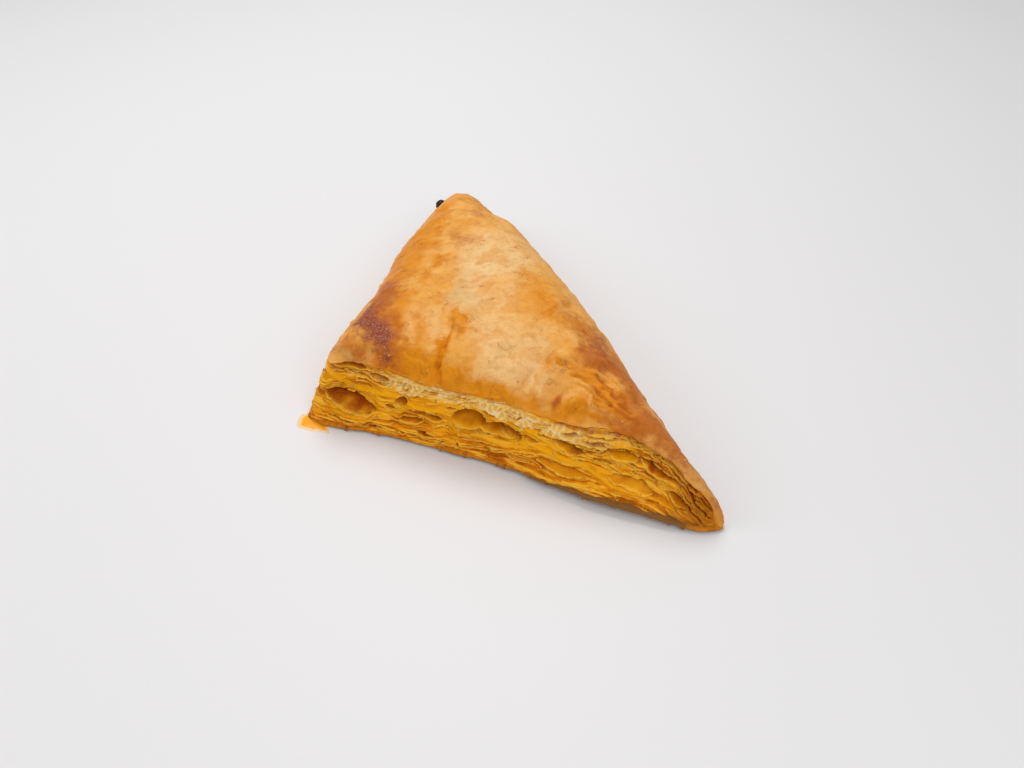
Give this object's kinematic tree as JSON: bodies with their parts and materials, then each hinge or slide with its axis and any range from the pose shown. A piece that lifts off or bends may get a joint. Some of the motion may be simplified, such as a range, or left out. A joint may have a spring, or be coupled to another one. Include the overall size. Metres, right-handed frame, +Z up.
{
  "type": "vegetable puff",
  "caption": "Baked triangular puff pastry with a filling: domed golden crust, rounded fold on the long side and flaky layered cut edges.",
  "frame": {"origin": "middle of the box at the height of the flat base", "axes": "+Z up, out of the domed crust. +X runs along the front cut edge from the square corner to the tip. +Y runs along the left cut edge."},
  "size_m": [0.1382, 0.1222, 0.033],
  "materials": {
    "baked_pastry": "baked puff pastry, satin golden crust with an egg and fat glaze, pale to brown, with waxy yellow layers at the cut edges"
  },
  "bodies": {
    "root": {"vegetable_puff": "baked_pastry"}
  },
  "joints": []
}
